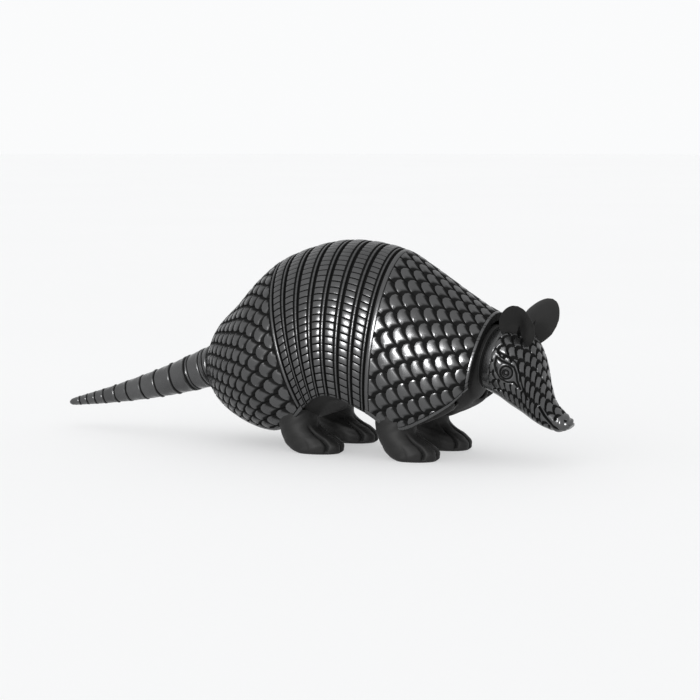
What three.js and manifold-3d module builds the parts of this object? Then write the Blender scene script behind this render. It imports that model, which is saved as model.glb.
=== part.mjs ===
// A hand-built black clay armadillo, made hollow from thick clay walls and fired.
// Millimetres, +Z up, +X towards the snout, +Y to the animal's left, floor at Z = 0.
import * as THREE from 'three';
import { mergeVertices } from 'three/addons/utils/BufferGeometryUtils.js';
import Module from 'manifold-3d';

const wasm = await Module();
wasm.setup();

// ---- Driving sizes, in millimetres ----
const BODY_LENGTH = 195;      // tail ring to the front edge of the shoulder shield
const BODY_HEIGHT = 129.5;    // floor to the highest point of the back
const BODY_WIDTH = 94;        // widest band, side to side
const SHELL_WALL = 5;         // clay wall of the rump, bands and shoulder shield
const BELLY_WALL = 5;         // clay wall of the underside
const HEAD_WALL = 4.5;        // clay wall of the head and neck
const JOINT_GAP = 0.3;        // clearance between two pieces of clay that meet
const BELLY_GAP = 0.8;        // clearance of the underside inside the shell
const LEG_GAP = 0.6;          // clearance of a leg under the shell and the belly

const BAND_COUNT = 7;
const BAND_STEP = 1.1;        // drop from the raised row of a band to its smooth strip
const LIP_THICKNESS = 1.8;    // rear lip of a band, over the tongue of the band behind it

const TAIL_LENGTH = 115;      // along X, from the rump's ring to the tip
const TAIL_ROOT_RADIUS = 13;
const TAIL_TIP_RADIUS = 2;
const TAIL_RING_HEIGHT = 0.7;
const TAIL_RING_COUNT = 11;

const HEAD_LENGTH = 46;       // neck joint to the nose, along X
const HEAD_WIDTH = 42;
const EAR_LENGTH = 38;        // with the root that is pressed into the head
const EAR_WIDTH = 24;
const EAR_THICKNESS = 2.6;
const EAR_CUP_DEPTH = 4.2;
const EYE_RADIUS = 2.9;
const EYE_PROUD = 1.3;        // how far the pellet stands out of the head

const LEG_SPREAD = 24;        // centre plane to the middle of a foot
const LEG_RADIUS = 12.3;      // at the ankle
const FRONT_FOOT_LENGTH = 37;
const REAR_FOOT_LENGTH = 41;
const FOOT_WIDTH = 25.5;
const TOE_GROOVE_DEPTH = 1.7;
const VENT_RADIUS = 3;        // steam vent through the belly

const SHELL_STEPS = 24;       // facets across the shell
const BELLY_STEPS = 16;
const LEG_STEPS = 30;
const HEAD_STEPS = 20;
const TAIL_STEPS = 14;
const EAR_STEPS = 20;

// ---- The body's lines ----
// Each station is one upright ring of the body, from the tail to the neck: the crown of
// the back, the foot of the ring's ellipse (both as percent of length and height), half
// width in percent, the angle from the crown to the shell's rim, and the belly's height.
const STATIONS = [
  { crown: [0, 49.2], foot: [0.8, 23.3], width: 35, rim: 150, belly: 25.3 },
  { crown: [4, 58.8], foot: [7.2, 14.7], width: 60, rim: 153, belly: 19.3 },
  { crown: [11.3, 69.1], foot: [17, 7.6], width: 82, rim: 155, belly: 13 },
  { crown: [19.2, 81.7], foot: [28, 3.6], width: 94.5, rim: 152, belly: 11 },
  { crown: [27.2, 90.8], foot: [46.7, 3.2], width: 99, rim: 125, belly: 18.5 },
  { crown: [47.7, 100], foot: [52.3, 1], width: 100, rim: 116, belly: 28.5 },
  { crown: [67.7, 96.5], foot: [62, -1.7], width: 88.5, rim: 122, belly: 27 },
  { crown: [77.4, 88.6], foot: [71.8, -5], width: 86, rim: 127, belly: 22.5 },
  { crown: [87.2, 79.3], foot: [81, -4.3], width: 81, rim: 116, belly: 22.5 },
  { crown: [95, 72.2], foot: [88.7, 2.5], width: 73.5, rim: 107.5, belly: 25.5 },
  { crown: [100, 68.6], foot: [93.8, 13], width: 65, rim: 102.5, belly: 31 },
];
const RUMP_END = 4;           // station where the rump meets the first band
const BANDS_END = 6;          // station where the last band meets the shoulder shield
const LAST_STATION = STATIONS.length - 1;
const BAND_PITCH = (BANDS_END - RUMP_END) / BAND_COUNT;
const PEAR = 0.06;            // how much fuller the rings are below their middle

const percentX = (value) => (value / 100) * BODY_LENGTH;
const percentZ = (value) => (value / 100) * BODY_HEIGHT;

function lineThrough(values) {
  const points = values.map(([x, y, z]) => new THREE.Vector3(x, y, z));
  const curve = new THREE.CatmullRomCurve3(points);
  return (station) => curve.getPoint(station / (values.length - 1));
}

const crownLine = lineThrough(STATIONS.map(({ crown, width }) => [
  percentX(crown[0]), (width / 200) * BODY_WIDTH, percentZ(crown[1])]));
const footLine = lineThrough(STATIONS.map(({ foot, rim }) => [
  percentX(foot[0]), THREE.MathUtils.degToRad(rim), percentZ(foot[1])]));
const bellyLine = lineThrough(STATIONS.map(({ foot, belly }) => [
  percentX(foot[0]), 0, percentZ(belly)]));

// One ring of the body: its middle, the half axis towards the crown and the half width.
function ringAt(station) {
  const crown = crownLine(station);
  const foot = footLine(station);
  const middle = new THREE.Vector3((crown.x + foot.x) / 2, 0, (crown.z + foot.z) / 2);
  const up = new THREE.Vector3((crown.x - foot.x) / 2, 0, (crown.z - foot.z) / 2);
  return { middle, up, halfWidth: crown.y, rim: foot.y, belly: bellyLine(station).z };
}

// A point of the shell, `depth` under its outer face, at an angle from the crown.
function ringPoint(ring, depth, angle) {
  const height = ring.up.length();
  const point = ring.up.clone().multiplyScalar((1 - depth / height) * Math.cos(angle));
  point.add(ring.middle);
  point.y = (ring.halfWidth - depth) * Math.sin(angle) * (1 - PEAR * Math.cos(angle));
  return point;
}

function shellPoint(station, depth, across) {
  const ring = ringAt(station);
  return ringPoint(ring, depth, across * ring.rim);
}

// The underside: it starts tucked up inside the shell, along the shell's last facet, and
// crosses below the body.
const TUCK = THREE.MathUtils.degToRad(7);
const TUCK_SHARE = 0.2;

function bellyPoint(station, depth, across) {
  const ring = ringAt(station);
  const side = Math.sign(across);
  const inside = SHELL_WALL + BELLY_GAP + depth;
  const travel = 1 - Math.abs(across);
  const start = ringPoint(ring, inside, side * ring.rim);
  if (travel < TUCK_SHARE) {
    const facet = 2 * ring.rim / SHELL_STEPS;
    const facetEnd = ringPoint(ring, inside, side * (ring.rim - facet));
    return start.lerp(facetEnd, TUCK * (1 - travel / TUCK_SHARE) / facet);
  }
  const before = ringPoint(ring, inside, side * (ring.rim - TUCK));
  const along = start.clone().sub(before).normalize();
  const end = bellyLine(station);
  end.y = 0;
  end.z += depth;
  const reach = start.distanceTo(end) * 0.35;
  const leave = start.clone().addScaledVector(along, reach);
  const arrive = end.clone();
  arrive.y = start.y * 0.5;
  const curve = new THREE.CubicBezierCurve3(start, leave, arrive, end);
  return curve.getPoint((travel - TUCK_SHARE) / (1 - TUCK_SHARE));
}

// ---- Making closed solids ----
function signedVolume(geometry) {
  const position = geometry.getAttribute('position');
  const index = geometry.getIndex();
  const corner = [new THREE.Vector3(), new THREE.Vector3(), new THREE.Vector3()];
  let total = 0;
  for (let i = 0; i < index.count; i += 3) {
    corner.forEach((point, k) => point.fromBufferAttribute(position, index.getX(i + k)));
    total += corner[0].dot(corner[1].clone().cross(corner[2])) / 6;
  }
  return total;
}

// Builds a closed mesh from points and triangles, and turns it to face outwards.
function closedMesh(points, triangles) {
  const geometry = new THREE.BufferGeometry().setFromPoints(points);
  geometry.setIndex(triangles);
  if (signedVolume(geometry) < 0) {
    for (let i = 0; i < triangles.length; i += 3) {
      [triangles[i], triangles[i + 1]] = [triangles[i + 1], triangles[i]];
    }
    geometry.setIndex(triangles);
  }
  return mergeVertices(geometry, 1e-5);
}

// Sweeps a closed outline of [station, depth] corners across the body, side to side. Its
// two ends are divided as bent strips, so that no triangle reaches across many stations.
const CAP_RADIUS = 100;
const CAP_TURN = 0.5;         // radians for each station

function sweepOutline(outline, pointAt, steps, reach = 1) {
  const points = [];
  const triangles = [];
  const corners = outline.length;
  for (let j = 0; j <= steps; j += 1) {
    const across = reach * ((2 * j) / steps - 1);
    outline.forEach(([station, depth]) => points.push(pointAt(station, depth, across)));
  }
  for (let j = 0; j < steps; j += 1) {
    for (let i = 0; i < corners; i += 1) {
      const a = j * corners + i;
      const b = j * corners + ((i + 1) % corners);
      const c = a + corners;
      const d = b + corners;
      triangles.push(...(j < steps / 2 ? [a, b, c, b, d, c] : [a, b, d, a, d, c]));
    }
  }
  const flat = outline.map(([station, depth]) => (
    new THREE.Vector2(CAP_RADIUS - depth, 0).rotateAround(new THREE.Vector2(), station * CAP_TURN)));
  const last = steps * corners;
  THREE.ShapeUtils.triangulateShape(flat, []).forEach(([a, b, c]) => {
    triangles.push(a, c, b, last + a, last + b, last + c);
  });
  return closedMesh(points, triangles);
}

// Joins rings of equal point count into one solid with a fan at each end.
function loft(rings) {
  const count = rings[0].length;
  const points = rings.flat();
  const triangles = [];
  for (let j = 0; j < rings.length - 1; j += 1) {
    for (let i = 0; i < count; i += 1) {
      const a = j * count + i;
      const b = j * count + ((i + 1) % count);
      triangles.push(a, b, a + count, b, b + count, a + count);
    }
  }
  [0, rings.length - 1].forEach((end) => {
    const centre = new THREE.Vector3();
    rings[end].forEach((point) => centre.addScaledVector(point, 1 / count));
    const hub = points.push(centre) - 1;
    for (let i = 0; i < count; i += 1) {
      const a = end * count + i;
      const b = end * count + ((i + 1) % count);
      triangles.push(...(end === 0 ? [a, hub, b] : [a, b, hub]));
    }
  });
  return closedMesh(points, triangles);
}

function toSolid(geometry) {
  const bare = new THREE.BufferGeometry();
  bare.setAttribute('position', geometry.getAttribute('position').clone());
  bare.setIndex(geometry.getIndex() ? geometry.getIndex().clone() : null);
  const merged = mergeVertices(bare, 1e-5);
  return new wasm.Manifold(new wasm.Mesh({
    numProp: 3,
    vertProperties: new Float32Array(merged.getAttribute('position').array),
    triVerts: new Uint32Array(merged.getIndex().array),
  }));
}

function fromSolid(solid) {
  const { vertProperties, triVerts } = solid.getMesh();
  const geometry = new THREE.BufferGeometry();
  geometry.setAttribute('position', new THREE.BufferAttribute(vertProperties, 3));
  geometry.setIndex(new THREE.BufferAttribute(triVerts, 1));
  return geometry;
}

function mirrored(geometry) {
  const copy = geometry.clone().scale(1, -1, 1);
  const order = Array.from(copy.getIndex().array);
  for (let i = 0; i < order.length; i += 3) {
    [order[i], order[i + 1]] = [order[i + 1], order[i]];
  }
  copy.setIndex(order);
  return copy;
}

function evenly(from, to, count) {
  return Array.from({ length: count + 1 }, (_, i) => from + ((to - from) * i) / count);
}

// ---- The shell ----
const LAP = 0.36;             // overlap of two bands, in band pitches
const LAP_GAP = 0.07;         // end clearance of a lap joint, in band pitches
const PLATEAU_END = 0.58;     // raised row of a band, in band pitches
const STRIP_START = 0.66;     // smooth strip of a band, in band pitches

// The front end of a wall that lies under the lip of the piece in front of it.
function tongue(station) {
  return [
    [station - (1 - PLATEAU_END) * BAND_PITCH, 0],
    [station - (1 - STRIP_START) * BAND_PITCH, BAND_STEP],
    [station - LAP_GAP * BAND_PITCH, BAND_STEP],
    [station - LAP_GAP * BAND_PITCH, LIP_THICKNESS + JOINT_GAP],
    [station + (LAP - LAP_GAP) * BAND_PITCH, LIP_THICKNESS + JOINT_GAP],
    [station + (LAP - LAP_GAP) * BAND_PITCH, SHELL_WALL],
  ];
}

// The rear end of a wall that lies over the tongue of the piece behind it.
function lip(station) {
  return [
    [station + LAP * BAND_PITCH, SHELL_WALL],
    [station + LAP * BAND_PITCH, LIP_THICKNESS],
    [station, LIP_THICKNESS],
    [station, 0],
  ];
}

function bandGeometry(number) {
  const rear = RUMP_END + (number - 1) * BAND_PITCH;
  return sweepOutline([...tongue(rear + BAND_PITCH), ...lip(rear)], shellPoint, SHELL_STEPS);
}

// Stations at which the inner faces of the two shields are divided.
const rumpInside = evenly(0, RUMP_END, 8);
const shoulderInside = evenly(BANDS_END + LAP * BAND_PITCH, LAST_STATION, 8);

function rumpGeometry() {
  const outer = evenly(0, RUMP_END - (1 - PLATEAU_END) * BAND_PITCH, 11);
  const inner = rumpInside.toReversed();
  const outline = [
    ...outer.slice(0, -1).map((station) => [station, 0]),
    ...tongue(RUMP_END),
    ...inner.map((station) => [station, SHELL_WALL]),
  ];
  return sweepOutline(outline, shellPoint, SHELL_STEPS);
}

function shoulderGeometry() {
  const outer = evenly(BANDS_END, LAST_STATION, 10);
  const inner = shoulderInside.toReversed();
  const outline = [
    ...outer.slice(1).map((station) => [station, 0]),
    ...inner.slice(0, -1).map((station) => [station, SHELL_WALL]),
    ...lip(BANDS_END),
  ];
  return sweepOutline(outline, shellPoint, SHELL_STEPS);
}

// ---- The underside ----
const BELLY_FRONT = LAST_STATION - 1;     // the chest ends inside the shoulder shield
const BELLY_END_GAP = 0.05;   // clearance in front of the chest, in stations
const VENT_STATION = 5;

// The underside has its rings at the shell's own stations, so their facets run side by side.
const bandStations = evenly(RUMP_END, BANDS_END, BAND_COUNT).slice(1, -1);
const shellStations = [...rumpInside, ...bandStations, ...shoulderInside];
const bellyStations = [...shellStations.filter((station) => station < BELLY_FRONT), BELLY_FRONT];

function bellyGeometry() {
  const outline = [
    ...bellyStations.map((station) => [station, 0]),
    ...bellyStations.toReversed().map((station) => [station, BELLY_WALL]),
  ];
  const trough = sweepOutline(outline, bellyPoint, BELLY_STEPS);
  const vent = new THREE.CylinderGeometry(VENT_RADIUS, VENT_RADIUS, BELLY_WALL * 4, 20);
  const centre = bellyLine(VENT_STATION);
  vent.rotateX(Math.PI / 2).translate(centre.x, 0, centre.z);
  return fromSolid(toSolid(trough).subtract(toSolid(vent)));
}

// Everything inside the underside's outer face, grown by the joint gap, for cutting legs.
const CORE_FLARE = 12;        // widens the core's top into the shell's wall

function bellyCore() {
  const rings = bellyStations.map((station) => {
    const ring = ringAt(station);
    const below = evenly(-1, 1, BELLY_STEPS).map((across) => bellyPoint(station, -LEG_GAP, across));
    const left = below[below.length - 1].clone();
    left.y += CORE_FLARE;
    left.z = ring.middle.z;
    return [...below, left, left.clone().setY(-left.y)];
  });
  return toSolid(loft(rings));
}

// The underside's wall grown on both faces, with the same facets as the wall itself.
function bellyCutter(gap) {
  const stations = [...bellyStations.slice(0, -1), BELLY_FRONT + BELLY_END_GAP];
  const outline = [
    ...stations.map((station) => [station, -gap]),
    ...stations.toReversed().map((station) => [station, BELLY_WALL + gap]),
  ];
  return toSolid(sweepOutline(outline, bellyPoint, BELLY_STEPS));
}

// The shell's wall grown by the legs' gap, for cutting what stands under it. It reaches
// a little past the rim.
const CUTTER_REACH = 1.022;

function shellCutter() {
  const outline = [
    ...shellStations.map((station) => [station, -SHELL_WALL / 2]),
    ...shellStations.toReversed().map((station) => [station, SHELL_WALL + LEG_GAP]),
  ];
  return toSolid(sweepOutline(outline, shellPoint, SHELL_STEPS, CUTTER_REACH));
}

// ---- Legs ----
// Rings of a leg from the sole up: height, how far the middle lies ahead of the foot's
// middle, how much of the way from the foot's outline to the ankle's it has gone, and how
// much of the foot's length is left behind its middle, where the heel is rounded off.
const LEG_RINGS = [
  { height: 0, ahead: 1.5, ankle: 0, tight: 0.86, heel: 0.56 },
  { height: 2.2, ahead: 1, ankle: 0, tight: 0.98, heel: 0.72 },
  { height: 5.5, ahead: 0.5, ankle: 0, tight: 1, heel: 0.86 },
  { height: 9, ahead: -1.5, ankle: 0.25, tight: 1, heel: 0.95 },
  { height: 12.5, ahead: -5, ankle: 0.65, tight: 1, heel: 1 },
  { height: 16.5, ahead: -8, ankle: 0.95, tight: 1, heel: 1 },
  { height: 23, ahead: -9, ankle: 1, tight: 1, heel: 1 },
  { height: 32, ahead: -10, ankle: 1, tight: 1, heel: 1 },
  { height: 42, ahead: -9, ankle: 1, tight: 1, heel: 1 },
];
const TOE_ANGLES = [-48, 0, 48];
const TOE_GROOVE_HALF_ANGLE = 12;
const TOE_GROOVE_TOP = 16;

function toeGroove(angle, height) {
  const nearest = Math.min(...TOE_ANGLES.map((toe) => Math.abs(angle - toe)));
  const across = Math.max(0, 1 - nearest / TOE_GROOVE_HALF_ANGLE);
  return TOE_GROOVE_DEPTH * across * Math.max(0, 1 - height / TOE_GROOVE_TOP);
}

function legRing({ height, ahead, ankle, tight, heel }, footLength, footX) {
  const halfLength = THREE.MathUtils.lerp(footLength / 2, LEG_RADIUS, ankle) * tight;
  const halfWidth = THREE.MathUtils.lerp(FOOT_WIDTH / 2, LEG_RADIUS, ankle) * tight;
  return evenly(-180, 180, LEG_STEPS).slice(0, -1).map((angle) => {
    const turn = THREE.MathUtils.degToRad(angle);
    const shrink = toeGroove(angle, height);
    return new THREE.Vector3(
      footX + ahead + (halfLength - shrink) * Math.cos(turn) * (Math.cos(turn) < 0 ? heel : 1),
      LEG_SPREAD + (halfWidth - shrink) * Math.sin(turn),
      height,
    );
  });
}

function legGeometry(footLength, footX, cutters) {
  const whole = toSolid(loft(LEG_RINGS.map((ring) => legRing(ring, footLength, footX))));
  const trimmed = cutters.reduce((solid, cutter) => solid.subtract(cutter), whole);
  const pieces = trimmed.decompose();
  pieces.sort((a, b) => b.volume() - a.volume());
  return fromSolid(pieces[0]);
}

// ---- Head, neck, ears and eyes ----
// Rings of the head from the neck to the nose, as shares of its length, height and width.
const HEAD_RINGS = [
  { top: [-0.05, 0.97], bottom: [-0.23, 0.36], width: 0.95 },
  { top: [0.21, 1], bottom: [-0.01, 0.29], width: 1 },
  { top: [0.46, 0.85], bottom: [0.16, 0.21], width: 0.93 },
  { top: [0.575, 0.665], bottom: [0.315, 0.145], width: 0.79 },
  { top: [0.65, 0.435], bottom: [0.445, 0.08], width: 0.6 },
  { top: [0.74, 0.265], bottom: [0.565, 0.03], width: 0.45 },
  { top: [0.865, 0.17], bottom: [0.685, 0], width: 0.38 },
  { top: [0.963, 0.108], bottom: [0.815, -0.015], width: 0.31 },
  { top: [0.993, 0.06], bottom: [0.935, 0.01], width: 0.19 },
];
const HEAD_DROP = 62;                     // crown of the head above its nose
const headX = (share) => percentX(100) + 2.5 + share * HEAD_LENGTH;
const headZ = (share) => percentZ(16) + share * HEAD_DROP;

const headTop = lineThrough(HEAD_RINGS.map(({ top, width }) => [
  headX(top[0]), (width / 2) * HEAD_WIDTH, headZ(top[1])]));
const headBottom = lineThrough(HEAD_RINGS.map(({ bottom }) => [
  headX(bottom[0]), 0, headZ(bottom[1])]));

function headRing(station, depth = 0, steps = HEAD_STEPS) {
  const top = headTop(station);
  const bottom = headBottom(station);
  const middle = new THREE.Vector3((top.x + bottom.x) / 2, 0, (top.z + bottom.z) / 2);
  const up = new THREE.Vector3((top.x - bottom.x) / 2, 0, (top.z - bottom.z) / 2);
  const scale = 1 - depth / up.length();
  return evenly(0, 2 * Math.PI, steps).slice(0, -1).map((angle) => {
    const point = up.clone().multiplyScalar(scale * Math.cos(angle)).add(middle);
    point.y = (top.y - depth) * Math.sin(angle);
    return point;
  });
}

const LAST_HEAD_RING = HEAD_RINGS.length - 1;
const HOLLOW_END = 4.6;       // the head's hollow stops before the thin snout

function headOutside(grow = 0) {
  return toSolid(loft(evenly(0, LAST_HEAD_RING, 12).map((at) => headRing(at, -grow))));
}

function headGeometry(eyes) {
  const hollow = toSolid(loft([
    headRing(0, HEAD_WALL).map((point) => point.clone().add(new THREE.Vector3(-2, 0, 0.8))),
    ...evenly(0, HOLLOW_END, 7).map((at) => headRing(at, HEAD_WALL)),
  ]));
  const bored = headOutside().subtract(hollow);
  return fromSolid(eyes.reduce((solid, eye) => solid.subtract(eye), bored));
}

// The neck: a short tube that widens into the shoulders, inside the shoulder shield.
const NECK_RINGS = [
  { back: 36, grow: 11 },
  { back: 26, grow: 9 },
  { back: 12, grow: 2 },
  { back: 5, grow: -1.5 },
  { back: 0, grow: -1.5 },
];

function neckRing({ back, grow }, depth) {
  const shift = new THREE.Vector3(-JOINT_GAP - back, 0, back * 0.12);
  return headRing(0, depth - grow).map((point) => point.clone().add(shift));
}

function neckGeometry(cutters) {
  const outside = toSolid(loft(NECK_RINGS.map((ring) => neckRing(ring, 0))));
  const bore = toSolid(loft([
    neckRing({ back: NECK_RINGS[0].back + 2, grow: NECK_RINGS[0].grow }, HEAD_WALL),
    ...NECK_RINGS.map((ring) => neckRing(ring, HEAD_WALL)),
    neckRing({ back: -2, grow: NECK_RINGS[4].grow }, HEAD_WALL),
  ]));
  const tube = outside.subtract(bore);
  const trimmed = cutters.reduce((solid, cutter) => solid.subtract(cutter), tube);
  const pieces = trimmed.decompose();
  pieces.sort((a, b) => b.volume() - a.volume());
  return fromSolid(pieces[0]);
}

// An ear: a leaf-shaped cup that leans out and forward, its hollow facing outwards.
const EAR_WIDEST = 0.58;      // share of the ear's length at which it is widest
const EAR_ROOT_INSIDE = 5;    // length of the ear's root sunk into the head before the cut

function earOutline(share) {
  const height = share * EAR_LENGTH;
  const stem = Math.sin((Math.PI / 2) * Math.min(1, share / EAR_WIDEST));
  const tip = Math.max(0, share - EAR_WIDEST) / (1 - EAR_WIDEST);
  const root = 0.27 * (1 - share) ** 2;
  return { height, halfWidth: (EAR_WIDTH / 2) * Math.min(1, stem * Math.sqrt(1 - tip * tip) + root) };
}

function earRing(inset, lift) {
  const half = EAR_STEPS / 2;
  const sideOf = (i) => (i <= half ? 1 : -1);
  return Array.from({ length: EAR_STEPS }, (_, i) => {
    const share = i <= half ? i / half : 2 - i / half;
    const { height, halfWidth } = earOutline(share);
    const middle = EAR_LENGTH * 0.5;
    return new THREE.Vector3(
      sideOf(i) * halfWidth * inset,
      middle + (height - middle) * inset,
      lift,
    );
  });
}

function earGeometry(headCut) {
  const cup = (inset) => -EAR_CUP_DEPTH * (1 - inset * inset);
  const rings = [
    ...[0.08, 0.4, 0.7, 0.92].map((inset) => earRing(inset, cup(inset))),
    earRing(1, -EAR_THICKNESS * 0.4),
    ...[0.92, 0.7, 0.4, 0.08].map((inset) => earRing(inset, cup(inset) - EAR_THICKNESS)),
  ];
  const ear = loft(rings);
  const along = new THREE.Vector3(0.27, 0.59, 0.78).normalize();
  const faceOut = new THREE.Vector3(0.08, 1, 0);
  faceOut.addScaledVector(along, -faceOut.dot(along)).normalize();
  const across = new THREE.Vector3().crossVectors(along, faceOut);
  const place = new THREE.Matrix4().makeBasis(across, along, faceOut);
  place.setPosition(headX(0.26), HEAD_WIDTH * 0.226, headZ(0.79));
  ear.translate(0, -EAR_ROOT_INSIDE, 0).applyMatrix4(place);
  return fromSolid(toSolid(ear).subtract(headCut));
}

// An eye: a pellet of clay pressed into a socket in the side of the head.
function eyeCentre() {
  return headRing(1.65, EYE_RADIUS - EYE_PROUD, 4)[1];
}

function eyeGeometry(grow = 0) {
  const pellet = new THREE.SphereGeometry(EYE_RADIUS + grow, 12, 8);
  const centre = eyeCentre();
  pellet.deleteAttribute('normal');
  pellet.deleteAttribute('uv');
  return mergeVertices(pellet.translate(centre.x, centre.y, centre.z), 1e-4);
}

// ---- Tail ----
// The tail's axis leaves the rump's ring and droops towards the tip.
function tailAxis() {
  const root = ringAt(0).middle;
  const points = [[0, 0], [-0.348, -0.117], [-0.678, -0.206], [-1, -0.276]].map(([x, z]) => (
    new THREE.Vector3(root.x - JOINT_GAP * 1.5 + x * TAIL_LENGTH, 0, root.z + z * TAIL_LENGTH)));
  return new THREE.CatmullRomCurve3(points);
}

function tailRing(axis, share, radius) {
  const centre = axis.getPoint(share);
  const along = axis.getTangent(share);
  if (share === 0) along.copy(ringAt(0).up).cross(new THREE.Vector3(0, 1, 0)).normalize();
  const across = new THREE.Vector3(-along.z, 0, along.x);
  return evenly(0, 2 * Math.PI, TAIL_STEPS).slice(0, -1).map((angle) => (
    centre.clone()
      .addScaledVector(across, radius * Math.cos(angle))
      .add(new THREE.Vector3(0, radius * Math.sin(angle), 0))));
}

function tailRadius(share) {
  return THREE.MathUtils.lerp(TAIL_ROOT_RADIUS, TAIL_TIP_RADIUS, share);
}

// Where along the tail a raised ring lies: the rings draw closer together at the tip.
const FIRST_RING = 0.065;
const LAST_RING = 0.93;
const RING_CROWDING = 1.25;

function tailRingShare(number) {
  const turn = (number - 1) / (TAIL_RING_COUNT - 1);
  return THREE.MathUtils.lerp(FIRST_RING, LAST_RING, 1 - (1 - turn) ** RING_CROWDING);
}

function tailGeometry() {
  const axis = tailAxis();
  const rings = [tailRing(axis, 0, TAIL_ROOT_RADIUS)];
  for (let i = 1; i <= TAIL_RING_COUNT; i += 1) {
    const share = tailRingShare(i);
    const radius = tailRadius(share);
    rings.push(tailRing(axis, share - 0.018, radius));
    rings.push(tailRing(axis, share, radius + TAIL_RING_HEIGHT));
    rings.push(tailRing(axis, share + 0.012, radius - TAIL_RING_HEIGHT * 0.4));
  }
  rings.push(tailRing(axis, 0.97, TAIL_TIP_RADIUS * 1.2));
  rings.push(tailRing(axis, 1, TAIL_TIP_RADIUS * 0.55));
  return loft(rings);
}

// ---- Finishes ----
function burnishedClay() {
  return new THREE.MeshStandardMaterial({ color: 0x3f4042, roughness: 0.36, metalness: 0.25 });
}

function matteClay() {
  return new THREE.MeshStandardMaterial({ color: 0x262626, roughness: 0.8, metalness: 0 });
}

// ---- Assembly ----
const armadillo = new THREE.Group();

function addPiece(name, geometry, material) {
  const piece = new THREE.Mesh(geometry, material);
  piece.name = name;
  armadillo.add(piece);
}

const core = bellyCore();
const shell = shellCutter();
const grownHead = headOutside(JOINT_GAP);
const frontFootX = percentX(75.4);
const rearFootX = percentX(41.3);

addPiece('rump_shield', rumpGeometry(), burnishedClay());
for (let number = 1; number <= BAND_COUNT; number += 1) {
  addPiece(`band_${number}`, bandGeometry(number), burnishedClay());
}
addPiece('shoulder_shield', shoulderGeometry(), burnishedClay());
addPiece('belly', bellyGeometry(), matteClay());
addPiece('tail', tailGeometry(), burnishedClay());

const eyeSocket = eyeGeometry(JOINT_GAP);
addPiece('head', headGeometry([toSolid(eyeSocket), toSolid(mirrored(eyeSocket))]), burnishedClay());
addPiece('neck', neckGeometry([shell, bellyCutter(JOINT_GAP), grownHead]), burnishedClay());

const eye = eyeGeometry();
addPiece('eye_left', eye, burnishedClay());
addPiece('eye_right', mirrored(eye), burnishedClay());

const ear = earGeometry(grownHead);
addPiece('ear_left', ear, matteClay());
addPiece('ear_right', mirrored(ear), matteClay());

[['front', FRONT_FOOT_LENGTH, frontFootX], ['rear', REAR_FOOT_LENGTH, rearFootX]].forEach(
  ([end, footLength, footX]) => {
    const leg = legGeometry(footLength, footX, [core, bellyCutter(LEG_GAP), shell]);
    addPiece(`leg_${end}_left`, leg, matteClay());
    addPiece(`leg_${end}_right`, mirrored(leg), matteClay());
  },
);

// The origin is the middle of the figure's footprint box, on the floor.
const box = new THREE.Box3().setFromObject(armadillo);
armadillo.position.set(-(box.min.x + box.max.x) / 2, 0, -box.min.z);
armadillo.updateMatrixWorld(true);

export default armadillo;
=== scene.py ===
# %% [markdown]
# # A black clay armadillo
# The figurine is hand-built from black clay: a hollow shell, a ringed tail, a long head,
# cupped ears and four mitten feet. The raised skin is rubbed with a stone until it shines
# like graphite, and the gouged grooves stay dull. Everything is made in metres, in the
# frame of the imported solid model, and each piece stands for the plain solids under it.
# %% Load the frame
import math
from functools import lru_cache

import bmesh
import bpy
import numpy as np
from mathutils import Matrix, Vector


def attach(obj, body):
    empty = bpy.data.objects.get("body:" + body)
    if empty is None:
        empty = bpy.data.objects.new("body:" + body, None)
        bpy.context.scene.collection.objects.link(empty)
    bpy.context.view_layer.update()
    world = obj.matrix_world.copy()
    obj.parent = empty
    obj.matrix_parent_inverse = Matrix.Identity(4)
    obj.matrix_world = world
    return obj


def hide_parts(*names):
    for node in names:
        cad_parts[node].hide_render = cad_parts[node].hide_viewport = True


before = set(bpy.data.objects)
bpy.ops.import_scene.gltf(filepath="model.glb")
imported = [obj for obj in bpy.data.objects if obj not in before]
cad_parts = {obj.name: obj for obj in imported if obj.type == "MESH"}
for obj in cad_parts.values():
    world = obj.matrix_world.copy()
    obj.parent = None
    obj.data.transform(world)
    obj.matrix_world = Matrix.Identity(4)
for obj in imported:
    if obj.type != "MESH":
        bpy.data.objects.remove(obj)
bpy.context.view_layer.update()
MM = 0.001

# %% [markdown]
# The camera comes first. It looks at the figurine's right side, a little from the front and
# a little from above, through a long lens, as for a product picture.
# %% Camera
camera = bpy.data.objects.new("camera", bpy.data.cameras.new("camera"))
bpy.context.scene.collection.objects.link(camera)
bpy.context.scene.camera = camera
camera.data.lens = 107.8
camera.location = (0.6173, -1.1509, 0.2083)
aim = Vector((0.0309, 0, 0.0611)) - camera.location
camera.rotation_euler = aim.to_track_quat("-Z", "Y").to_euler()
print("camera distance:", round(aim.length, 3))

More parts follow.
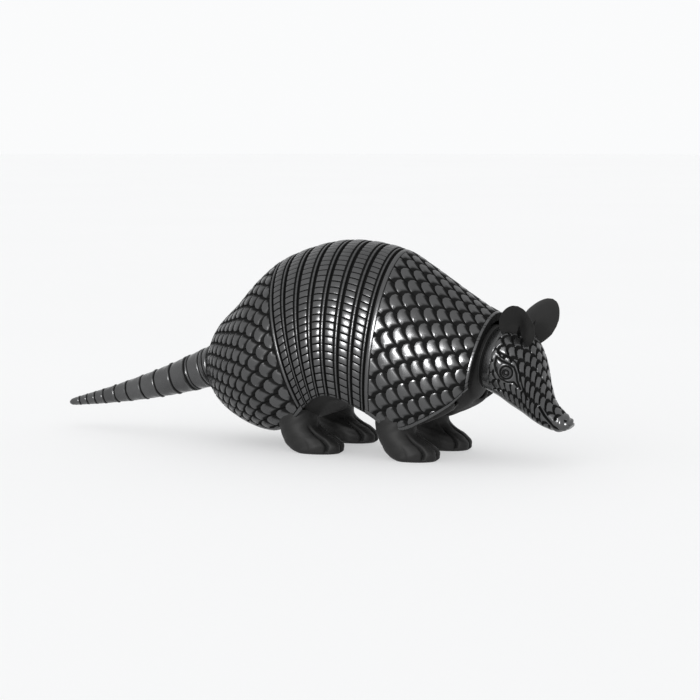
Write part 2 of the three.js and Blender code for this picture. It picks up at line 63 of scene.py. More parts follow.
# %% [markdown]
# The body is a row of upright ellipses. Four smooth lines run along it: the crown of the
# back, the foot of each ellipse, the half width and the angle at which the shell's rim
# lies. The same lines shape the solid model, so the detailed shell fits it everywhere.
# %% Smooth lines
def line_through(points):
    """A smooth line through points, as a function of a fractional point number."""
    known = [Vector(p) for p in points]
    last = len(known) - 1

    def point(i):
        if i < 0:
            return 2 * known[0] - known[1]
        if i > last:
            return 2 * known[last] - known[last - 1]
        return known[i]

    def gap(a, b):
        return (a - b).length_squared ** 0.25

    def at(station):
        i = min(int(math.floor(station)), last - 1)
        t = station - i
        p0, p1, p2, p3 = point(i - 1), point(i), point(i + 1), point(i + 2)
        d1 = gap(p1, p2)
        d0, d2 = gap(p0, p1), gap(p2, p3)
        start = ((p1 - p0) / d0 - (p2 - p0) / (d0 + d1) + (p2 - p1) / d1) * d1
        end = ((p2 - p1) / d1 - (p3 - p1) / (d1 + d2) + (p3 - p2) / d2) * d1
        return (p1 + start * t + (3 * (p2 - p1) - 2 * start - end) * t * t
                + (2 * (p1 - p2) + start + end) * t ** 3)

    return at


# %% Body rings
BODY_LENGTH, BODY_HEIGHT, BODY_WIDTH = 195, 129.5, 94
TAIL_JOINT_X = -64.137   # of the rump's ring, in the frame
PEAR = 0.06              # how much fuller the rings are below their middle
SHELL_WALL = 5
RUMP_END, BANDS_END, LAST_STATION, BAND_COUNT = 4, 6, 10, 7
BAND_PITCH = (BANDS_END - RUMP_END) / BAND_COUNT
STATIONS = [  # crown (x %, z %), foot (x %, z %), half width %, rim in degrees
    ((0, 49.2), (0.8, 23.3), 35, 150),
    ((4, 58.8), (7.2, 14.7), 60, 153),
    ((11.3, 69.1), (17, 7.6), 82, 155),
    ((19.2, 81.7), (28, 3.6), 94.5, 152),
    ((27.2, 90.8), (46.7, 3.2), 99, 125),
    ((47.7, 100), (52.3, 1), 100, 116),
    ((67.7, 96.5), (62, -1.7), 88.5, 122),
    ((77.4, 88.6), (71.8, -5), 86, 127),
    ((87.2, 79.3), (81, -4.3), 81, 116),
    ((95, 72.2), (88.7, 2.5), 73.5, 107.5),
    ((100, 68.6), (93.8, 13), 65, 102.5),
]


def percent(x, z):
    return x / 100 * BODY_LENGTH, z / 100 * BODY_HEIGHT


crown_line = line_through([(percent(*crown)[0], width / 200 * BODY_WIDTH, percent(*crown)[1])
                           for crown, foot, width, rim in STATIONS])
foot_line = line_through([(percent(*foot)[0], math.radians(rim), percent(*foot)[1])
                          for crown, foot, width, rim in STATIONS])


@lru_cache(maxsize=None)
def ring(station):
    crown, foot = crown_line(station), foot_line(station)
    middle = Vector(((crown.x + foot.x) / 2 + TAIL_JOINT_X, 0, (crown.z + foot.z) / 2))
    up = Vector(((crown.x - foot.x) / 2, 0, (crown.z - foot.z) / 2))
    return middle, up, crown.y, foot.y


def shell_point(station, across, depth):
    """A point of the shell in millimetres: across runs from rim (-1) to rim (1)."""
    middle, up, half_width, rim = ring(round(station, 5))
    angle = across * rim
    point = middle + up * ((1 - depth / up.length) * math.cos(angle))
    point.y = (half_width - depth) * math.sin(angle) * (1 - PEAR * math.cos(angle))
    return point


print("top of the back:", round(shell_point(5, 0, 0).z, 1), "mm")

# %% [markdown]
# The scales lie like roof shingles, row behind row, each row shifted by half a scale. Their
# layout is a flat lattice: x counts rows from tail to head, y counts scales around the
# body, and a whole scale is one unit wide. A rounded gouge cut is deepest behind the tip
# of a scale and dies out towards its sides.
# %% The gouge cut
CUT_WIDTH = 0.46         # at the tip, in half scales


def cut_width(tip):
    return CUT_WIDTH * (0.2 + 0.8 * tip ** 0.7)


def gouge(x, y, own=None):
    """How deep the lattice is cut at (x, y): 0 on a scale, 1 at the bottom behind a tip."""
    deepest = 0
    first = math.floor(x + 1e-6)
    for row in (first, first + 1):
        if row == own:
            continue
        shift = (row % 2) / 2
        side = y - shift - round(y - shift)
        reach = math.hypot(x - row - 1, 2 * side)
        if reach < 0.999 or x > row + 1:
            continue
        tip = max(0, (row + 1 - x) / reach)
        depth = min(1, max(0, (cut_width(tip) - reach + 1) / (0.6 * cut_width(tip))))
        deepest = max(deepest, depth * (0.12 + 0.88 * tip ** 0.6))
    return deepest


# %% [markdown]
# One scale is a small grid of quads bent into the fish-scale outline: a rounded free edge
# towards the tail, and in front two hollow edges that follow the neighbours' free edges.
# Its rows run from the bottom of the wall behind the tip, over the rubbed plateau, and
# down into the cut in front. It has 48 faces and is repeated over the whole shell.
# %% One scale
COLUMNS = [-0.5, -0.47, -0.38, -0.22, 0, 0.22, 0.38, 0.47, 0.5]
SCALE_ROWS = 6
DOME = [0, 0, 0.1, 0.08, 0, 0, 0]    # extra height of each row of points


def stored(bm, name):
    """Turns a bmesh into mesh data that can be repeated or shown."""
    mesh = bpy.data.meshes.new(name)
    bm.to_mesh(mesh)
    bm.free()
    return mesh


def scale_tile():
    tile = bmesh.new()
    bmesh.ops.create_grid(tile, x_segments=SCALE_ROWS, y_segments=len(COLUMNS) - 1, size=1)
    for vert in tile.verts:
        row = round((vert.co.x + 1) / 2 * SCALE_ROWS)
        side = COLUMNS[round((vert.co.y + 1) / 2 * (len(COLUMNS) - 1))]
        rear = 1 - math.sqrt(max(0, 1 - 4 * side * side))
        tip = math.sqrt(max(0, 1 - (2 * abs(side) - 1) ** 2))
        front = 2 - tip
        room = front - rear
        width = min(cut_width(tip), 0.5 * room)
        places = [rear, rear + min(0.035, 0.15 * room), rear + min(0.17, 0.3 * room),
                  (rear + front - width) / 2, front - width, front - 0.35 * width, front]
        x = places[row]
        deep = gouge(x, side, own=None if row == 0 else 0)
        vert.co = (x, side, DOME[row] - deep)
    return stored(tile, "scale")


scale_mesh = scale_tile()
print("faces of one scale:", len(scale_mesh.polygons))

# %% [markdown]
# A field of scales is cut to a rectangle with bisecting planes. Its open edges are then
# extruded outwards into smooth borders and rolled over, as a potter wipes an edge, and a
# second, plain skin closes the inside. Only then is the flat sheet wrapped on the body.
# %% Sheets of clay
INSIDE = -10             # marks the inner skin of a sheet
INNER_SHARE = 0.995      # how far the inner skin reaches towards the rim
RIM_EDGE = 0.971         # share of the way to the rim where the scales end



def tiled(mesh, rows, reach, stagger=0):
    """A sheet of repeated tiles, `reach` tiles to each side of y = 0; odd rows are shifted."""
    strip = bmesh.new()
    for j in range(-reach, reach + 1):
        start = len(strip.verts)
        strip.from_mesh(mesh)
        strip.verts.ensure_lookup_table()
        bmesh.ops.translate(strip, verts=strip.verts[start:], vec=(0, j, 0))
    strip_mesh = stored(strip, "strip")
    sheet = bmesh.new()
    for i in rows:
        start = len(sheet.verts)
        sheet.from_mesh(strip_mesh)
        sheet.verts.ensure_lookup_table()
        bmesh.ops.translate(sheet, verts=sheet.verts[start:], vec=(i, stagger * (i % 2), 0))
    bmesh.ops.remove_doubles(sheet, verts=sheet.verts, dist=1e-4)
    return sheet


def trimmed(sheet, low_x, high_x, half_y):
    for place, normal in (((low_x, 0, 0), (-1, 0, 0)), ((high_x, 0, 0), (1, 0, 0)),
                          ((0, -half_y, 0), (0, -1, 0)), ((0, half_y, 0), (0, 1, 0))):
        geom = sheet.verts[:] + sheet.edges[:] + sheet.faces[:]
        bmesh.ops.bisect_plane(sheet, geom=geom, dist=1e-5, plane_co=place, plane_no=normal,
                               clear_outer=True)
    return sheet


def carry_edge(sheet, axis, place, steps):
    """Extrudes the open edge at a place along x or y through (place, height) steps."""
    edges = [e for e in sheet.edges if e.is_boundary
             and all(abs(v.co[axis] - place) < 2e-4 for v in e.verts)]
    for new_place, height in steps:
        made = bmesh.ops.extrude_edge_only(sheet, edges=edges)["geom"]
        verts = {g for g in made if isinstance(g, bmesh.types.BMVert)}
        for vert in verts:
            vert.co[axis] = new_place
            vert.co.z = height
        edges = [g for g in made if isinstance(g, bmesh.types.BMEdge) and set(g.verts) <= verts]


def close_inside(sheet):
    geom = sheet.verts[:] + sheet.edges[:] + sheet.faces[:]
    outer_edges = [e for e in sheet.edges if e.is_boundary]
    inner = bmesh.ops.duplicate(sheet, geom=geom)["geom"]
    for vert in (g for g in inner if isinstance(g, bmesh.types.BMVert)):
        vert.co.z = INSIDE
    bmesh.ops.reverse_faces(sheet, faces=[g for g in inner if isinstance(g, bmesh.types.BMFace)])
    drop = bmesh.ops.extrude_edge_only(sheet, edges=outer_edges)["geom"]
    for vert in (g for g in drop if isinstance(g, bmesh.types.BMVert)):
        vert.co.z = INSIDE
    bmesh.ops.remove_doubles(sheet, verts=sheet.verts, dist=1e-5)
    bmesh.ops.dissolve_degenerate(sheet, edges=sheet.edges, dist=1e-6)


# %% Finished pieces
def shown(name, bm, material, slot, *nodes, crisp=38):
    """Makes the piece's object, lets it ride on the root body and stand for its solids."""
    bmesh.ops.recalc_face_normals(bm, faces=bm.faces)
    mesh = bpy.data.meshes.new(name)
    bm.to_mesh(mesh)
    open_edges = sum(e.is_boundary for e in bm.edges)
    bm.free()
    mesh.shade_smooth()
    mesh.set_sharp_from_angle(angle=math.radians(crisp))
    mesh.materials.append(material)
    piece = bpy.data.objects.new(name, mesh)
    bpy.context.scene.collection.objects.link(piece)
    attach(piece, "root")
    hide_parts(*nodes)
    print(f"{name}: {len(mesh.polygons)} faces, {open_edges} open edges")
    return piece


def wrapped(sheet, place):
    """Bends the flat sheet onto the body and keeps how deep each point was cut."""
    layer = sheet.verts.layers.float.new("gouge")
    for vert in sheet.verts:
        x, y, z = vert.co
        # Painted shade: the depth kept here darkens the finish in the cuts; the inner skin counts
        # as fully cut, so it is near black.
        vert[layer] = min(1, max(0, -z))
        vert.co = place(x, y, z) * MM
    return sheet


# %% [markdown]
# Shader maths reads best as plain expressions, so a small class wraps a socket and adds a
# Math node for each operator.
# %% Node expressions
class Wire:
    """A socket that can be used in sums."""

    def __init__(self, finish, socket):
        self.finish, self.socket = finish, socket

    def maths(self, operation, a, b):
        return self.finish.node("ShaderNodeMath", {"operation": operation}, {0: a, 1: b})

    def __add__(self, other):
        return self.maths("ADD", self, other)

    def __rsub__(self, other):
        return self.maths("SUBTRACT", other, self)

    def __mul__(self, other):
        return self.maths("MULTIPLY", self, other)

    __radd__ = __add__


class Finish:
    """A material and the nodes that make it."""

    def __init__(self, name):
        self.material = bpy.data.materials.new(name)
        self.material.use_nodes = True
        self.tree = self.material.node_tree
        self.shader = self.tree.nodes["Principled BSDF"]

    def node(self, kind, settings, sockets, output=0):
        made = self.tree.nodes.new(kind)
        for key, value in settings.items():
            if key == "stops":
                first, last = made.color_ramp.elements
                (first.position, first.color), (last.position, last.color) = value
            else:
                setattr(made, key, value)
        for key, value in sockets.items():
            if isinstance(value, Wire):
                self.tree.links.new(value.socket, made.inputs[key])
            else:
                made.inputs[key].default_value = value
        return Wire(self, made.outputs[output])

    def set(self, **values):
        for key, value in values.items():
            socket = self.shader.inputs[key.replace("_", " ")]
            if isinstance(value, Wire):
                self.tree.links.new(value.socket, socket)
            else:
                socket.default_value = value

    def place(self):
        return self.node("ShaderNodeTexCoord", {}, {}, "Object")

    def noise(self, size_mm, detail=3, stretch=None):
        """Noise whose features are about size_mm wide, stretched along an axis if asked."""
        vector = self.place()
        if stretch:
            vector = self.node("ShaderNodeMapping", {}, {"Vector": vector, "Scale": stretch})
        return self.node("ShaderNodeTexNoise", {},
                         {"Vector": vector, "Scale": 1 / (size_mm * MM), "Detail": detail})

    def blend(self, factor, low, high):
        return self.node("ShaderNodeMix", {"data_type": "RGBA"}, {0: factor, 6: low, 7: high}, 2)

    def ramp(self, value, low, high):
        """0 below low, 1 above high, smooth between."""
        stops = ((low, (0, 0, 0, 1)), (high, (1, 1, 1, 1)))
        return self.node("ShaderNodeValToRGB", {"stops": stops}, {"Fac": value})

    def bump(self, height, distance_mm, strength):
        return self.node("ShaderNodeBump", {}, {"Height": height, "Strength": strength,
                                                "Distance": distance_mm * MM})


# %% [markdown]
# Burnished clay: a stone is rubbed over the dry slip, which lays its mica-like grains flat.
# The skin turns a dark metallic grey with soft streaks, and the cuts, which the stone can't
# reach, stay dull. Their near-black colour is partly the dull clay and partly painted shade.
# The cut depth comes from the piece's own attribute.
# %% Burnished clay
def burnished_clay():
    clay = Finish("burnished_clay")
    cut = clay.ramp(clay.node("ShaderNodeAttribute", {"attribute_name": "gouge"}, {}, "Fac"),
                    0.06, 0.38)
    cloud = clay.noise(22, 4)
    streaks = clay.noise(1.3, 3, stretch=(1, 0.35, 0.35))
    grain = clay.noise(0.35, 2)
    tone = clay.blend(cloud, (0.066, 0.066, 0.067, 1), (0.126, 0.127, 0.128, 1))
    # Painted shade: the cuts are blended towards near black by their depth, as the shade that lies
    # in them.
    clay.set(
        Base_Color=clay.blend(cut, tone, (0.004, 0.004, 0.004, 1)),
        Metallic=(1 - cut) * 0.85,
        Roughness=0.17 + streaks * 0.12 + cloud * 0.08 + cut * 0.5,
        Normal=clay.bump(streaks + grain * 0.5, 0.12, 0.35),
    )
    clay.shader.inputs["Specular IOR Level"].default_value = 0.14
    return clay.material


# %% [markdown]
# The legs, ears and underside were smoothed with a finger and not rubbed. They fire to a
# dull black with fine tool scratches. Their grooves and creases are blended towards near
# black by their depth, as painted shade.
# %% Matte clay
def matte_clay():
    clay = Finish("matte_clay")
    cut = clay.ramp(clay.node("ShaderNodeAttribute", {"attribute_name": "gouge"}, {}, "Fac"),
                    0.1, 0.8)
    cloud = clay.noise(9, 4)
    scratches = clay.noise(0.8, 3, stretch=(0.3, 1, 0.6))
    grain = clay.noise(0.3, 3)
    tone = clay.blend(cloud, (0.010, 0.010, 0.0098, 1), (0.022, 0.0215, 0.021, 1))
    # Painted shade: grooves and creases are darkened by their cut depth, as the shade in them.
    clay.set(
        Base_Color=clay.blend(cut, tone, (0.006, 0.006, 0.006, 1)),
        Roughness=0.5 + cloud * 0.1 + grain * 0.12 + cut * 0.2,
        Normal=clay.bump(scratches + grain, 0.15, 0.5),
    )
    clay.shader.inputs["Specular IOR Level"].default_value = 0.24
    return clay.material


burnished, matte = burnished_clay(), matte_clay()
print("finishes:", burnished.name, matte.name)

# %% [markdown]
# On the body the scales keep nearly one size, so rows end at the rim where the shell gets
# narrower. A lattice knows how wide a scale is at each station, how far the rim is from
# the crown, and at which station each row lies.
# %% The lattice on the shell
ROW_SHARE = 0.72         # distance between two rows, in scale widths
FLANK = 0.42             # where rows are measured, as a share of the way to the rim


class Lattice:
    """Lays the flat sheet of scales on the shell between two stations."""

    def __init__(self, first, last, width_first, width_last, relief):
        self.relief = relief
        self.stations = np.linspace(first, last, 160)
        self.widths = np.interp(self.stations, [first, last], [width_first, width_last])
        self.girths = np.array([self.girth(s) for s in self.stations])
        flank = [shell_point(s, FLANK, 0) for s in self.stations]
        steps = [(b - a).length / (width * ROW_SHARE)
                 for a, b, width in zip(flank, flank[1:], self.widths)]
        self.rows = np.concatenate([[0], np.cumsum(steps)])
        self.count = float(self.rows[-1])

    def girth(self, station):
        """Distance from the crown to the rim around the shell, in millimetres."""
        arc = [shell_point(station, a, 0) for a in np.linspace(0, 1, 25)]
        return sum((b - a).length for a, b in zip(arc, arc[1:]))

    def sheet(self):
        """The scales, with y changed from scale widths to shares of the way to the rim."""
        reach = math.ceil(float((self.girths / self.widths).max())) + 1
        made = tiled(scale_mesh, range(-2, math.ceil(self.count) + 1), reach, 0.5)
        for vert in made.verts:
            x = vert.co.x
            vert.co.y *= float(np.interp(x, self.rows, self.widths / self.girths))
        return made

    def place(self, x, across, z):
        station = float(np.interp(x, self.rows, self.stations))
        if z <= INSIDE + 1e-6:
            return shell_point(station, across * INNER_SHARE, SHELL_WALL)
        width = float(np.interp(x, self.rows, self.widths))
        return shell_point(station, across, -z * self.relief * (width / self.widths.max()) ** 0.6)


def rim_sides(sheet):
    """Wipes a smooth rim along both sides of the shell."""
    steps = [(0.003, -0.5), (0.007, 0), (0.02, 0.12), (0.026, -0.05), (0.029, -0.7)]
    for side in (-1, 1):
        carry_edge(sheet, 1, side * RIM_EDGE,
                   [(side * (RIM_EDGE + beyond), height) for beyond, height in steps])


# %% [markdown]
# The shoulder shield: big scales, a smooth wiped border at the last band, and a thin rim at
# the neck and along the belly.
# %% Shoulder shield
def shoulder_shield():
    lattice = Lattice(BANDS_END + 0.012, LAST_STATION, 11.2, 9, 1.35)
    sheet = trimmed(lattice.sheet(), 0.42, lattice.count - 0.34, RIM_EDGE)
    carry_edge(sheet, 0, 0.42, [(0.4, -0.5), (0.36, -0.45), (0.3, 0), (0.2, 0.06), (0.05, 0.02),
                                (0.02, -0.1), (0, -0.5)])
    top = lattice.count
    carry_edge(sheet, 0, top - 0.34, [(top - 0.31, -0.5), (top - 0.26, -0.05), (top - 0.1, 0.1),
                                      (top - 0.03, 0), (top, -0.5)])
    rim_sides(sheet)
    close_inside(sheet)
    print("rows on the shoulder:", round(lattice.count, 1))
    return shown("shoulder_shield", wrapped(sheet, lattice.place), burnished, "burnished_clay",
                 "shoulder_shield")


shoulder_shield()

# %% [markdown]
# The rump shield: smaller scales that grow from the tail towards the bands, and in front of
# them the first of the bright smooth strips that part the bands.
# %% Rump shield
def rump_shield():
    lattice = Lattice(0, RUMP_END - 0.01, 6, 10.8, 1.5)
    sheet = trimmed(lattice.sheet(), 0.9, lattice.count - 0.52, RIM_EDGE)
    carry_edge(sheet, 0, 0.9, [(0.86, -0.4), (0.8, 0), (0.62, 0.05), (0.55, -0.5), (0.48, -0.5),
                               (0.4, 0.3), (0.1, 0.3), (0, -0.4)])
    top = lattice.count
    carry_edge(sheet, 0, top - 0.52, [
        (top - 0.5, -0.8), (top - 0.45, -0.85), (top - 0.4, -0.3), (top - 0.32, -0.05),
        (top - 0.24, -0.05), (top - 0.16, -0.3), (top - 0.1, -1.3), (top, -1.5)])
    rim_sides(sheet)
    close_inside(sheet)
    print("rows on the rump:", round(lattice.count, 1))
    return shown("rump_shield", wrapped(sheet, lattice.place), burnished, "burnished_clay",
                 "rump_shield")


rump_shield()

# %% [markdown]
# A band is a row of raised cushions with a notch between each two, a thin groove, a bright
# smooth strip and a deep dark step up to the band in front. The notches, groove and step are
# darkened by their depth as painted shade. One cushion with its length of strip is a small
# grid, repeated around the back.
# %% Bands
SCUTES_AROUND = 58
SCUTE_LINES = [0, 0.03, 0.09, 0.30, 0.50, 0.57, 0.61, 0.65, 0.69, 0.73, 0.78, 0.83, 0.87, 1]
SCUTE_SIDES = [-0.5, -0.39, -0.3, 0.3, 0.39, 0.5]
SCUTE_HEIGHTS = [-0.9, -0.05, 0.08, 0.12, 0.08, -0.1, -0.95, -1.0, -0.35, -0.1, -0.05, -0.3,
                 -1.7, -2.1]
SIDE_DROPS = [1.1, 0.08, 0, 0, 0.08, 1.1]


def scute_tile():
    tile = bmesh.new()
    lines, sides = len(SCUTE_LINES) - 1, len(SCUTE_SIDES) - 1
    bmesh.ops.create_grid(tile, x_segments=lines, y_segments=sides, size=1)
    for vert in tile.verts:
        i = round((vert.co.x + 1) / 2 * lines)
        j = round((vert.co.y + 1) / 2 * sides)
        on_scute = 0 < i < 6
        drop = SIDE_DROPS[j] * (1 if on_scute else 0.1 if 7 < i < 12 else 0)
        vert.co = (SCUTE_LINES[i], SCUTE_SIDES[j], SCUTE_HEIGHTS[i] - drop)
    return stored(tile, "scute")


scute_mesh = scute_tile()


def band(number):
    rear = RUMP_END + (number - 1) * BAND_PITCH
    half = SCUTES_AROUND / 2
    sheet = tiled(scute_mesh, [0], SCUTES_AROUND // 2 + 1)
    trimmed(sheet, 0, 1, half - 0.4)
    for side in (-1, 1):
        edge = side * (half - 0.4)
        carry_edge(sheet, 1, edge, [(edge + side * 0.3, -0.3), (edge + side * 0.4, -0.9)])
    close_inside(sheet)

    def place(x, y, z):
        across = 2 * y / SCUTES_AROUND
        station = rear + BAND_PITCH * (0.004 + 0.992 * x)
        if z <= INSIDE + 1e-6:
            return shell_point(station, across * INNER_SHARE, SHELL_WALL)
        return shell_point(station, across, -z)

    return shown(f"band_{number}", wrapped(sheet, place), burnished, "burnished_clay",
                 f"band_{number}")


for number in range(1, BAND_COUNT + 1):
    band(number)

# %% [markdown]
# The tail, head, legs and ears are skins with fine detail: a dense grid is laid over a
# smooth surface, and every point is then pressed in or pulled out along the surface's own
# normal, as a finger or a gouge does. The grid's seam and its two ends are welded shut.
# %% Skins
def surface_grid(point, us, vs):
    return np.array([[tuple(point(u, v)) for v in vs] for u in us])


def normals_of(grid):
    du, dv = np.gradient(grid, axis=0), np.gradient(grid, axis=1)
    wrap = (grid[:, 1] - grid[:, -2]) / 2
    dv[:, 0] = dv[:, -1] = wrap
    normal = np.cross(du, dv)
    normal[:, 0] = normal[:, -1] = normal[:, 0] + normal[:, -1]
    length = np.linalg.norm(normal, axis=2, keepdims=True)
    normal = normal / np.maximum(length, 1e-9)
    middle = grid.mean(axis=1, keepdims=True)
    outward = np.sign((normal * (grid - middle)).sum())
    return normal * outward


def skin(grid, cut):
    """A welded bmesh over a grid of points (millimetres), with its cut depths kept."""
    rows, columns = grid.shape[0] - 1, grid.shape[1] - 1
    bm = bmesh.new()
    bmesh.ops.create_grid(bm, x_segments=rows, y_segments=columns, size=1)
    layer = bm.verts.layers.float.new("gouge")
    for vert in bm.verts:
        i = round((vert.co.x + 1) / 2 * rows)
        j = round((vert.co.y + 1) / 2 * columns)
        vert.co = Vector(grid[i, j]) * MM
        vert[layer] = float(cut[i, j])
    bmesh.ops.remove_doubles(bm, verts=bm.verts, dist=2e-6)
    caps = [e for e in bm.edges if e.is_boundary]
    if caps:
        bmesh.ops.holes_fill(bm, edges=caps, sides=0)
    bmesh.ops.dissolve_degenerate(bm, edges=bm.edges, dist=1e-6)
    return bm


def hump(distance, width):
    """A smooth bump that is 1 at distance 0 and fades out at about its width."""
    return np.exp(-(distance / (0.55 * width)) ** 2)


# %% [markdown]
# The tail droops in a gentle line. Thin raised rings stand in front of dark grooves, closer
# together at the tip, with a few fine ridges where the tail meets the rump. The grooves are
# dull, and their near-black colour is painted shade.
# %% Tail
TAIL_LENGTH, TAIL_ROOT, TAIL_TIP = 115, 13, 2
TAIL_RINGS = [0.165, 0.262, 0.37, 0.47, 0.575, 0.66, 0.745, 0.81, 0.87, 0.925]
ROOT_RIDGES = [0.02, 0.045, 0.07, 0.143]
TAIL_CURVE_LENGTH = TAIL_LENGTH * 1.04    # measured along the drooping line


def tail():
    root, root_up = ring(0)[0], ring(0)[1]
    axis = line_through([(root.x - 0.45 + x * TAIL_LENGTH, 0, root.z + z * TAIL_LENGTH)
                         for x, z in [(0, 0), (-0.348, -0.117), (-0.678, -0.206), (-1, -0.276)]])
    shares = np.concatenate([np.linspace(0, 0.985, 330), np.linspace(0.987, 1, 12)])
    turns = np.linspace(math.pi, -math.pi, 65)
    grid = np.zeros((len(shares), len(turns), 3))
    for i, share in enumerate(shares):
        centre = axis(share * 3)
        along = (axis(min(1, share + 0.005) * 3) - axis(max(0, share - 0.005) * 3)).normalized()
        if share < 0.03:
            tilt = root_up.cross(Vector((0, 1, 0))).normalized()
            tilt = tilt if tilt.dot(along) > 0 else -tilt
            along = tilt.lerp(along, share / 0.03).normalized()
        across = Vector((-along.z, 0, along.x))
        radius = TAIL_ROOT + (TAIL_TIP - TAIL_ROOT) * share
        tip = max(0, (share - 0.97) / 0.03)
        radius = float(radius * math.sqrt(max(0, 1 - tip * tip)))
        for j, turn in enumerate(turns):
            out = across * math.cos(turn) + Vector((0, math.sin(turn), 0))
            grid[i, j] = centre + radius * out
    length = (shares * TAIL_CURVE_LENGTH)[:, None]
    ridge, groove = 0, 0
    for share in TAIL_RINGS:
        place = share * TAIL_CURVE_LENGTH
        size = 0.55 + 0.45 * (1 - share)
        ridge = ridge + size * 0.62 * hump(length - place, 0.75)
        groove = groove + size * hump(length - place + 1.15, 1.0)
    for share in ROOT_RIDGES:
        place = share * TAIL_CURVE_LENGTH
        ridge = ridge + 0.4 * hump(length - place, 0.6)
        groove = groove + 0.6 * hump(length - place + 0.95, 0.7)
    wobble = 0.12 * np.sin(length * 0.9 + 3 * np.sin(turns * 3)[None, :])
    wobble = wobble * (shares < 0.96)[:, None]
    grid = grid + normals_of(grid) * (ridge - 0.65 * groove + wobble)[..., None]
    # Painted shade: the grooves are marked as cut, so the finish darkens them.
    cut = np.broadcast_to(np.clip(groove, 0, 1), grid.shape[:2])
    shown("tail", skin(grid, cut), burnished, "burnished_clay", "tail", crisp=60)


tail()

# %% [markdown]
# The head is a long drop shape. Its scales keep one size all over, so their lattice is
# measured in millimetres from the crown line and along the side, not in turns. The scales
# leave the eye, the jaw and the tip of the snout bare.
# %% Head surface
HEAD_LENGTH, HEAD_WIDTH, HEAD_DROP = 46, 42, 62
HEAD_RINGS = [  # top (x, z), bottom (x, z), width, as shares of length, drop and width
    ((-0.05, 0.97), (-0.23, 0.36), 0.95), ((0.21, 1), (-0.01, 0.29), 1),
    ((0.46, 0.85), (0.16, 0.21), 0.93), ((0.575, 0.665), (0.315, 0.145), 0.79),
    ((0.65, 0.435), (0.445, 0.08), 0.6), ((0.74, 0.265), (0.565, 0.03), 0.45),
    ((0.865, 0.17), (0.685, 0), 0.38), ((0.963, 0.108), (0.815, -0.015), 0.31),
    ((0.993, 0.06), (0.935, 0.01), 0.19),
]


def head_x(share):
    return TAIL_JOINT_X + BODY_LENGTH + 2.5 + share * HEAD_LENGTH


def head_z(share):
    return 0.16 * BODY_HEIGHT + share * HEAD_DROP


head_top = line_through([(head_x(top[0]), width / 2 * HEAD_WIDTH, head_z(top[1]))
                         for top, bottom, width in HEAD_RINGS])
head_bottom = line_through([(head_x(bottom[0]), 0, head_z(bottom[1]))
                            for top, bottom, width in HEAD_RINGS])
LAST_HEAD_RING = len(HEAD_RINGS) - 1


@lru_cache(maxsize=None)
def head_ring(station):
    top, bottom = head_top(station), head_bottom(station)
    middle = Vector(((top.x + bottom.x) / 2, 0, (top.z + bottom.z) / 2))
    up = Vector(((top.x - bottom.x) / 2, 0, (top.z - bottom.z) / 2))
    return middle, up, top.y


def head_point(station, turn):
    """Turn 0 is the crown, 90 degrees the animal's left side."""
    middle, up, half_width = head_ring(station)
    point = middle + up * math.cos(turn)
    point.y = half_width * math.sin(turn)
    return point


# %% [markdown]
# The lines of the face are drawn as strokes over that surface: two lids that meet in a
# point behind the eye and trail down the snout, and the slit of the mouth.
# %% Face strokes
EYE_STATION, EYE_TURN = 1.65, 92
UPPER_LID = [(0.93, 80), (1.25, 82), (1.62, 78), (1.95, 76), (2.2, 81), (2.4, 89), (2.8, 96)]
LOWER_LID = [(0.93, 80), (0.92, 92), (1.08, 101), (1.42, 107), (1.85, 104), (2.22, 96),
             (2.55, 97)]
BROW = [(0.95, 72), (1.4, 71), (1.9, 68), (2.4, 76), (2.75, 86), (3.15, 94), (3.5, 98)]
MOUTH = [(4.5, 78), (5.1, 86), (5.7, 96), (6.2, 108), (6.7, 122), (7.1, 134)]
NOSTRILS = [(6.75, 42), (5.95, 66)]


def spot_distance(grid, station, degrees):
    """Distance of each grid point from a spot that lies on both sides of the head."""
    spot = np.array(tuple(head_point(station, math.radians(degrees))))
    off = grid - spot
    off[..., 1] = np.abs(grid[..., 1]) - spot[1]
    return np.linalg.norm(off, axis=2)


def stroke_distance(grid, stroke):
    """Distance of each grid point from a stroke drawn on either side of the head."""
    line = np.array([tuple(head_point(s, math.radians(t))) for s, t in stroke])
    mirrored = grid.copy()
    mirrored[..., 1] = np.abs(mirrored[..., 1])
    nearest = np.full(grid.shape[:2], 1e9)
    for a, b in zip(line, line[1:]):
        ab = b - a
        t = np.clip(((mirrored - a) @ ab) / (ab @ ab), 0, 1)
        nearest = np.minimum(nearest, np.linalg.norm(mirrored - a - t[..., None] * ab, axis=2))
    return nearest


# %% Head
HEAD_SCALE = 7.3         # width of a head scale in millimetres
HEAD_ROW_SHARE = 0.62    # distance between two rows, in scale widths
SMOOTH_BAND = 6.5        # millimetres without scales behind the first row


